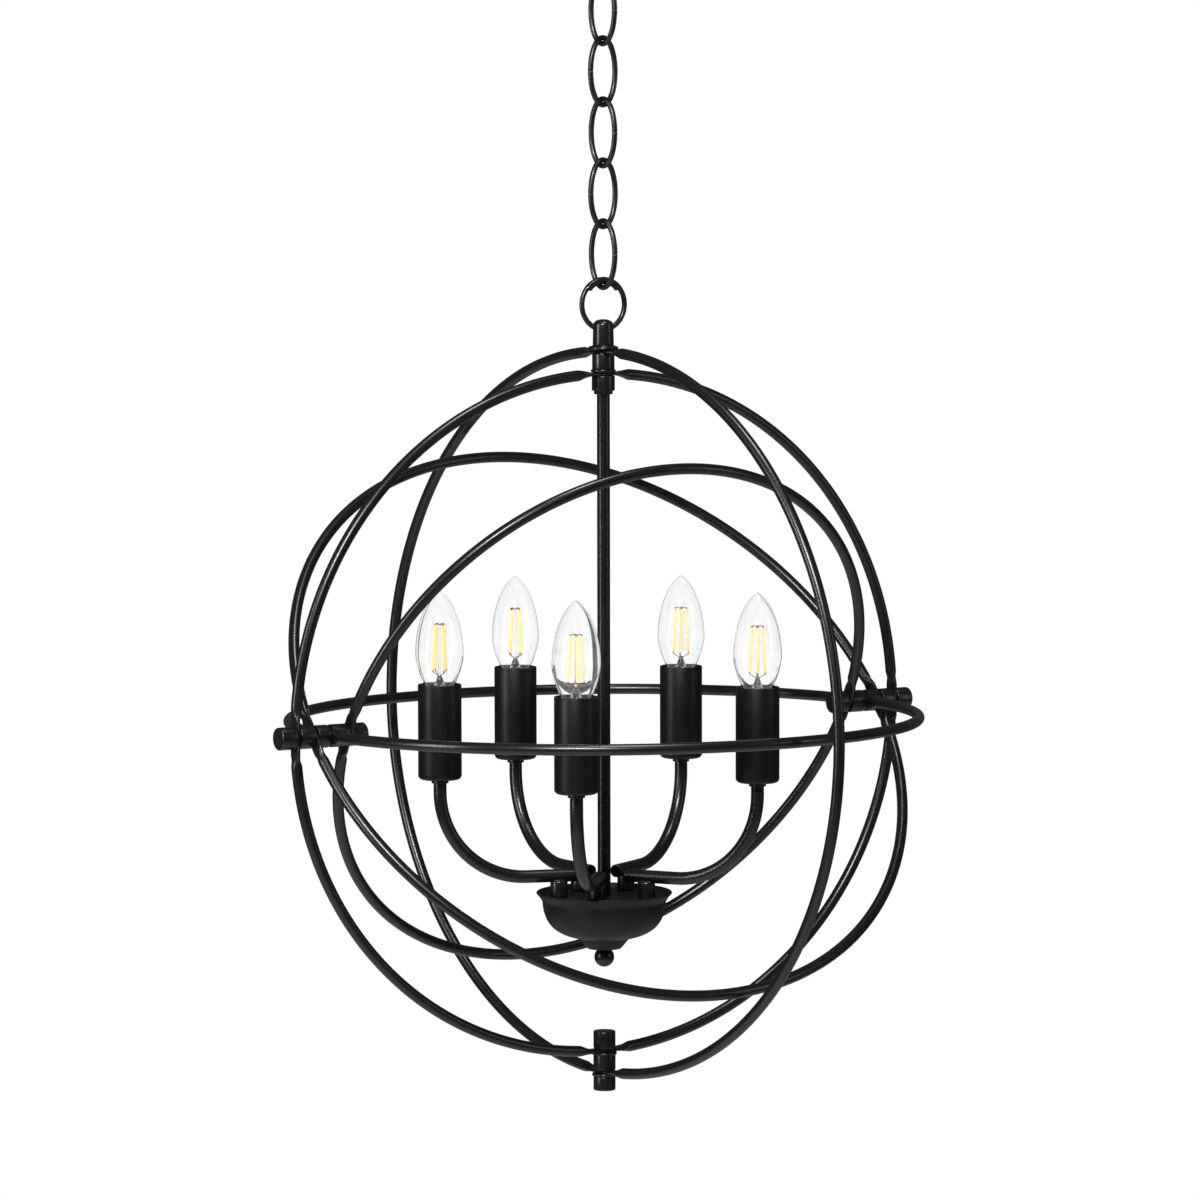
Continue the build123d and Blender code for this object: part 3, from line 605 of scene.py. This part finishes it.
turned_piece("dish", "black_pressing", "lamp_frame", upright(rim), profile, 96, closed=True, sharp=50)
PLATE = [(0, 0), (44.6, 0), (45.3, -0.2), (45.3, -1.4), (0, -1.4)]
turned_piece("dish_plate", "black_pressing", "lamp_frame", upright(plate), eased(PLATE, 0.3), 96)

BALL, BALL_SEAT, BALL_STEPS = 7.3, 3.6, 24
ball_top = rim + DISH_FOOT - FIT
ball_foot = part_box("ball_finial")[0].z / MM
ball_middle = ball_top - sqrt(BALL ** 2 - BALL_SEAT ** 2)
seat_angle = acos(BALL_SEAT / BALL)
outline = [(0, ball_top)]
for k in range(BALL_STEPS):
    angle = seat_angle - (seat_angle + pi / 2) * k / BALL_STEPS
    outline.append((BALL * cos(angle), ball_middle + BALL * sin(angle)))
outline = [p for p in outline if p[1] > ball_foot + 0.05] + [(0, ball_foot + 0.02)]
turned_piece("ball_finial", "black_coat", "lamp_frame", upright(0), outline, 40, sharp=60)

# ---------------------------------------------------------------- arms
ARM_AZIMUTHS = (162.5, 90.8, 229.0, 30.0, 302.5)
ARM_HEIGHT, ARM_START, ARM_BEND, ARM_REACH = 16.1, 18.0, 64.0, 122.5
ARM_RADIUS, ARM_BORE, ARM_BORE_DEPTH, ARM_TOP = 4.75, 3.75, 12.0, 5.0
BEND_START, BEND_STEPS = ARM_REACH - ARM_BEND, 32
POST_RADIUS, POST_POSITION, POST_LENGTH = 6.4, 34.0, ARM_HEIGHT - 3.6
BEAD, BEAD_SPAN, BEAD_STEPS = 0.9, 0.8, 12
LAMP_DROP = 41.5
# The arm's open end and its level run, as (distance from the stem, radius of the tube).
ARM_MOUTH = [(ARM_START + ARM_BORE_DEPTH, 0.02), (ARM_START + ARM_BORE_DEPTH, ARM_BORE),
             (ARM_START + 0.15, ARM_BORE), (ARM_START, ARM_BORE + 0.12),
             (ARM_START, ARM_RADIUS - 0.2), (ARM_START + 0.2, ARM_RADIUS)]
ARM_LEVEL = ARM_MOUTH + [(mix(ARM_START, BEND_START, k / 6), ARM_RADIUS) for k in range(1, 7)]
lamp_bottom = orb.z - LAMP_DROP


def on_arm(out, across, up):
    return out * across + AXIS_Z * (plate + ARM_HEIGHT + up)


def weld_bead(post, out, side_dir, side):
    """Bead of weld where the post meets the arm."""
    stations = []
    for k in range(BEAD_STEPS + 1):
        along = mix(-POST_RADIUS * BEAD_SPAN, POST_RADIUS * BEAD_SPAN, k / BEAD_STEPS)
        fall = sqrt(max(0.03, 1 - (along / POST_RADIUS / 0.82) ** 2))
        centre = (post + out * along + side_dir * side * (ARM_RADIUS - 0.3)
                  + AXIS_Z * (ARM_HEIGHT - 3.5))
        stations.append((centre, out, BEAD * fall * (1 + 0.12 * sin(k * 2.4))))
    return stations


for number, azimuth in enumerate(ARM_AZIMUTHS, start=1):
    node = f"lamp_arm_{number}"
    out = level(radians(azimuth))
    side_dir = AXIS_Z.cross(out)
    stations = [(on_arm(out, across, 0), out, radius) for across, radius in ARM_LEVEL]
    for k in range(1, BEND_STEPS + 1):
        t = pi / 2 * k / BEND_STEPS
        point = on_arm(out, BEND_START + ARM_BEND * sin(t), ARM_BEND - ARM_BEND * cos(t))
        stations.append((point, out * cos(t) + AXIS_Z * sin(t), ARM_RADIUS))
    stations.append((AXIS_Z * (lamp_bottom + ARM_TOP) + out * ARM_REACH, AXIS_Z, ARM_RADIUS))
    form = Form()
    form.swept(stations, side_dir, round_section(24))
    post = out * POST_POSITION + AXIS_Z * (plate + FIT)
    post_outline = [(0, 0), (POST_RADIUS, 0), (POST_RADIUS, POST_LENGTH), (0, POST_LENGTH)]
    form.turned(at(post), eased(post_outline, 1.3), 40)
    for side in (-1, 1):
        form.swept(weld_bead(post, out, side_dir, side), side_dir, round_section(12))
    form.make(node + "_look", "black_coat", "lamp_frame", node)

# ---------------------------------------------------------------- lamps
SLEEVE, SLEEVE_WALL, SLEEVE_LENGTH, SLEEVE_HOLE = 15.8, 1.2, 69.2, 4.95
SLEEVE_INSIDE = SLEEVE - SLEEVE_WALL
# From the sleeve's top, heights of the bulb are up, and its glass begins this far down.
GLASS_SINK = 8.6
sleeve_outline = [(SLEEVE_HOLE, 0)] + rounded_foot(SLEEVE, 0, 3.2, 8) + [
    (SLEEVE, SLEEVE_LENGTH / 2), (SLEEVE, SLEEVE_LENGTH - 0.5),
    (SLEEVE - 0.15, SLEEVE_LENGTH - 0.12), (SLEEVE - 0.5, SLEEVE_LENGTH),
    (SLEEVE_INSIDE + 0.4, SLEEVE_LENGTH), (SLEEVE_INSIDE + 0.1, SLEEVE_LENGTH - 0.1),
    (SLEEVE_INSIDE, SLEEVE_LENGTH - 0.4), (SLEEVE_INSIDE, 3.4), (SLEEVE - 3.0, 1.6),
    (SLEEVE_HOLE, 1.6)]
WASHER_BELOW = 2.7
SLEEVE_WASHER = [(4.8, 0), (6.2, 0), (6.2, 2.6), (4.8, 2.6)]
HOLDER_FOOT, HOLDER_LENGTH = 5.1, SLEEVE_LENGTH - 5 - GLASS_SINK - 0.2
HOLDER, HOLDER_BORE, HOLDER_DEPTH, HOLDER_STEP = 12.5, 7.2, 25, 1.2
holder_outline = [
    (0, 0), (HOLDER, 0), (HOLDER, HOLDER_LENGTH), (9.4, HOLDER_LENGTH),
    (9.2, HOLDER_LENGTH - HOLDER_STEP), (HOLDER_BORE, HOLDER_LENGTH - HOLDER_STEP),
    (HOLDER_BORE, HOLDER_LENGTH - HOLDER_DEPTH), (0, HOLDER_LENGTH - HOLDER_DEPTH)]
# The screw cap, with its thread drawn as five level grooves.
THREAD, THREAD_DEPTH, THREAD_START, THREAD_LENGTH, THREAD_TURNS, THREAD_STEPS = 6.35, 0.5, -27.6, 15, 5, 40
cap_outline = [(0, -31.7), (3.4, -31.6), (3.6, -29.8), (5.2, -28.6)]
for k in range(THREAD_STEPS + 1):
    u = k / THREAD_STEPS
    cap_outline.append((THREAD + THREAD_DEPTH * cos(2 * pi * THREAD_TURNS * u),
                        THREAD_START + THREAD_LENGTH * u))
cap_outline += [(6.8, -12.2), (6.9, -8.75), (0, -8.7)]
GLASS = [(8.2, -GLASS_SINK), (9.0, -5.0), (11.4, 0.3), (15.0, 9.5), (17.1, 18.0), (17.5, 24.0),
         (16.6, 34.5), (14.1, 46.1), (9.4, 57.7), (4.6, 64.3), (2.0, 67.0), (0, 67.8)]
GLASS_WALL, GLASS_NARROWEST, GLASS_LOWEST = 0.55, 0.3, -7.6
GLASS_STEM = [(6.6, -6.6), (5.4, -3.0), (3.6, 0.8), (2.3, 4.2), (1.3, 7.0), (1.15, 12.0), (1.15, 43.2)]
stem_outline = flowing(GLASS_STEM, 4) + [(0, 43.8)]
FILAMENTS, FILAMENT_TURN = 4, 0.35
FILAMENT_START, FILAMENT_LENGTH = 9.2, 34.6
FILAMENT_FOOT, FILAMENT_HEAD = 5.7, 4.0
STICK, STICK_INSET = 0.95, 1.2
FERRULE, FERRULE_LENGTH = 0.5, 1.4
FERRULE_OUTLINE = [(0, 0), (FERRULE, 0), (FERRULE, FERRULE_LENGTH), (0, FERRULE_LENGTH)]
LEAD_WIRE = 0.28
# Bent lead from the stem's pinch to the foot of the stick, and the arm of the top cross.
LEADS = (((0.7, 3.6), (1.6, 6.6), (3.6, 7.8), (FILAMENT_FOOT, FILAMENT_START + 0.2)),
         ((0.5, 43.0), (2.0, 43.9), (FILAMENT_HEAD, 43.6)))


def glass_outline():
    """Thin shell of a bulb: up its inside from the top down, then up its outside."""
    outer = flowing(GLASS, 5)
    inner = []
    for i, (r, h) in enumerate(outer):
        t = direction_along(outer, i)
        inner.append((r - t.y * GLASS_WALL, h + t.x * GLASS_WALL))
    inner = [(r, h) for r, h in inner if r > GLASS_NARROWEST and h > GLASS_LOWEST]
    outer[-1] = (0, outer[-1][1])
    return [(0, outer[-1][1] - GLASS_WALL)] + inner[::-1] + outer


sleeves, washers, holders, bases, stems, sticks, wires = (Form() for _ in range(7))
for number, azimuth in enumerate(ARM_AZIMUTHS, start=1):
    out = level(radians(azimuth))
    foot_place = at(out * ARM_REACH + AXIS_Z * lamp_bottom, AXIS_Z, out)
    top_place = foot_place @ Matrix.Translation((0, 0, SLEEVE_LENGTH))
    turn_only = top_place.to_3x3()
    sleeves.turned(foot_place, sleeve_outline, 64, closed=True)
    washers.turned(foot_place @ Matrix.Translation((0, 0, -WASHER_BELOW)),
                   eased(SLEEVE_WASHER, 0.4, closed=True), 40, closed=True)
    holders.turned(foot_place @ Matrix.Translation((0, 0, HOLDER_FOOT)), eased(holder_outline, 0.5), 40)
    bases.turned(top_place, cap_outline, 32)
    turned_piece(f"bulb_glass_{number}", "bulb_glass", "lamp_frame", top_place, glass_outline(), 56)
    stems.turned(top_place, stem_outline, 24)
    for k in range(FILAMENTS):
        d = level(2 * pi * k / FILAMENTS + FILAMENT_TURN)
        low_end = d * FILAMENT_FOOT + AXIS_Z * FILAMENT_START
        rise = d * FILAMENT_HEAD + AXIS_Z * (FILAMENT_START + FILAMENT_LENGTH) - low_end
        stick = top_place @ at(low_end, rise, d)
        stick_end = rise.length - STICK_INSET
        sticks.turned(stick, eased([(0, STICK_INSET), (STICK, STICK_INSET), (STICK, stick_end),
                                    (0, stick_end)], 0.4), 12)
        for end in (0, rise.length - FERRULE_LENGTH):
            wires.turned(stick @ Matrix.Translation((0, 0, end)), FERRULE_OUTLINE, 8)
        for points in LEADS:
            line = flowing(points, 5)
            path = []
            for i, (r, h) in enumerate(line):
                t = direction_along(line, i)
                path.append((top_place @ (d * r + AXIS_Z * h), turn_only @ (d * t.x + AXIS_Z * t.y),
                             LEAD_WIRE))
            wires.swept(path, (turn_only @ AXIS_Z.cross(d)).normalized(), round_section(8))

sleeves.make("socket_sleeves_look", "black_sleeve", "lamp_frame", "socket_sleeves")
washers.make("sleeve_washers_look", "black_coat", "lamp_frame", "sleeve_washers")
holders.make("lampholders_look", "holder_plastic", "lamp_frame", "lampholders")
bases.make("bulb_bases_look", "bulb_cap", "lamp_frame", "bulb_bases")
stems.make("bulb_stems_look", "stem_glass", "lamp_frame", "bulb_stems")
sticks.make("bulb_filaments_look", "filament", "lamp_frame", "bulb_filaments")
leads = wires.make("bulb_leads_look", "filament_wire", "lamp_frame")

# ---------------------------------------------------------------- ceiling fitting
CANOPY, CANOPY_DEPTH, CANOPY_WALL, CANOPY_CORNER, CANOPY_HOLE = 60.0, 25.0, 1.2, 6, 5.3
canopy_inside = CANOPY - CANOPY_WALL
canopy_floor = -CANOPY_DEPTH + CANOPY_WALL
outline = [(CANOPY_HOLE, -CANOPY_DEPTH)]
outline += rounded_foot(CANOPY, -CANOPY_DEPTH, CANOPY_CORNER, 10)
outline += [(CANOPY, -0.2), (CANOPY - 0.2, 0), (canopy_inside + 0.2, 0), (canopy_inside, -0.2)]
outline += rounded_foot(canopy_inside, canopy_floor, CANOPY_CORNER - CANOPY_WALL, 10)[::-1]
outline += [(CANOPY_HOLE, canopy_floor)]
turned_piece("canopy", "black_pressing", "ceiling_fitting", upright(0), outline, 96, closed=True)

# These steel pieces keep the mesh of the CAD part, because little or nothing of them shows.
for node in ("ceiling_crossbar", "ceiling_nipple", "ceiling_locknut", "hub_nipple", "bottom_pin",
             "tilt_pins", "centre_rod", "arm_nuts"):
    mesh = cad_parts[node].data
    mesh.materials.clear()
    mesh.materials.append(looks["zinc_steel"])

# ---------------------------------------------------------------- camera
PHOTO_PX, SENSOR, CLIP_END = 1200, 36, 100
FOCAL_PX, DISTANCE = 5306.66, 3867.6
DOWN, ROLL, HEADING = radians(4.7), radians(-0.1), radians(31.82)
CENTRE_PX = (603.9, 717.63)
forward = Vector((0, cos(DOWN), -sin(DOWN)))
upward = AXIS_X.cross(forward)
right = AXIS_X * cos(ROLL) + upward * sin(ROLL)
rolled_up = upward * cos(ROLL) - AXIS_X * sin(ROLL)
right_px, down_px = CENTRE_PX[0] - PHOTO_PX / 2, CENTRE_PX[1] - PHOTO_PX / 2
offset = (right * right_px - rolled_up * down_px) * DISTANCE / FOCAL_PX + forward * DISTANCE
to_model = Matrix.Rotation(-HEADING, 3, "Z")
camera_data = bpy.data.cameras.new("camera")
camera = bpy.data.objects.new("camera", camera_data)
bpy.context.scene.collection.objects.link(camera)
camera_data.sensor_width = SENSOR
camera_data.lens = FOCAL_PX / PHOTO_PX * SENSOR
camera_data.clip_end = CLIP_END
basis = Matrix((to_model @ right, to_model @ rolled_up, to_model @ -forward)).transposed().to_4x4()
basis.translation = (orb - to_model @ offset) * MM
camera.matrix_world = basis
bpy.context.scene.camera = camera


# ---------------------------------------------------------------- studio
def area_light(name, place, size, power):
    """Rectangular light that faces the middle of the orb."""
    data = bpy.data.lights.new(name, "AREA")
    data.shape = "RECTANGLE"
    data.size, data.size_y = size
    data.energy = power
    lamp = bpy.data.objects.new(name, data)
    bpy.context.scene.collection.objects.link(lamp)
    lamp.location = place
    lamp.rotation_euler = (orb * MM - place).to_track_quat("-Z", "Y").to_euler()


def toward_camera(right_m, up_m, near_m):
    """Place in the studio, seen from the camera: to the right, up and towards it."""
    side, near = to_model @ AXIS_X, to_model @ Vector((0, -1, 0))
    return orb * MM + side * right_m + AXIS_Z * up_m + near * near_m


area_light("front_box", toward_camera(-0.5, 1.9, 2.7), (0.7, 0.4), 150)
area_light("overhead", toward_camera(0.2, 2.5, 0.5), (0.6, 0.6), 40)
area_light("left_strip", toward_camera(-2.5, 0.5, 1.4), (0.3, 1.8), 55)
area_light("right_strip", toward_camera(2.6, 0.6, 0.8), (0.4, 1.6), 7)

# The background is white to the camera and through glass, faint in reflections, and lights little.
FILL_COLOUR, FILL_STRENGTH, GLOSSY_SHARE = (0.9, 0.93, 1.0), 0.05, 0.04
world = bpy.data.worlds.new("studio")
bpy.context.scene.world = world
sky = Nodes(world)
background = sky.nodes["Background"]
sky.fill(background, Color=(*FILL_COLOUR, 1), Strength=FILL_STRENGTH)
white = sky.add("Background", Color=(*WHITE, 1), Strength=1.0)
path = sky.add("LightPath")
seen = sky.maths("MAXIMUM", path.outputs["Is Camera Ray"], path.outputs["Is Transmission Ray"])
glossy = sky.maths("MULTIPLY", path.outputs["Is Glossy Ray"], GLOSSY_SHARE)
both = sky.mixed_shaders(sky.maths("MAXIMUM", seen, glossy), background.outputs[0], white.outputs[0])
sky.fill(sky.nodes["World Output"], Surface=both)

FLOOR_HEIGHT, FLOOR_HALF = -2.2, 3.0
FADE_FROM, FADE_SHARE = (2.2, 3.7), (0.55, 1.0)
floor_mesh = bpy.data.meshes.new("floor")
corners = [(x * FLOOR_HALF, y * FLOOR_HALF, FLOOR_HEIGHT) for x, y in ((-1, -1), (1, -1), (1, 1), (-1, 1))]
floor_mesh.from_pydata(corners, [], [(0, 1, 2, 3)])
floor = bpy.data.objects.new("floor", floor_mesh)
bpy.context.scene.collection.objects.link(floor)
look, shader = material("floor")
floor_mesh.materials.append(looks["floor"])
coords = look.coords()
cloud = look.noise(coords, 3, 3)
look.fill(shader, Base_Color=look.ramp(cloud, *NOISE_BAND, (0.86, 0.86, 0.86), (0.9, 0.9, 0.9)),
          Roughness=0.8)
# Towards its edge the floor fades into the white background, seen from the camera only.
reach = look.add("VectorMath")
reach.operation = "LENGTH"
look.feed(reach.inputs[0], coords)
fade = look.map_range(reach.outputs["Value"], FADE_FROM, FADE_SHARE)
shown = look.maths("MULTIPLY", fade, look.add("LightPath").outputs["Is Camera Ray"])
white = look.add("Emission", Color=(*WHITE, 1))
both = look.mixed_shaders(shown, shader.outputs[0], white.outputs[0])
look.fill(look.nodes["Material Output"], Surface=both)

bpy.context.scene.view_settings.view_transform = "Standard"
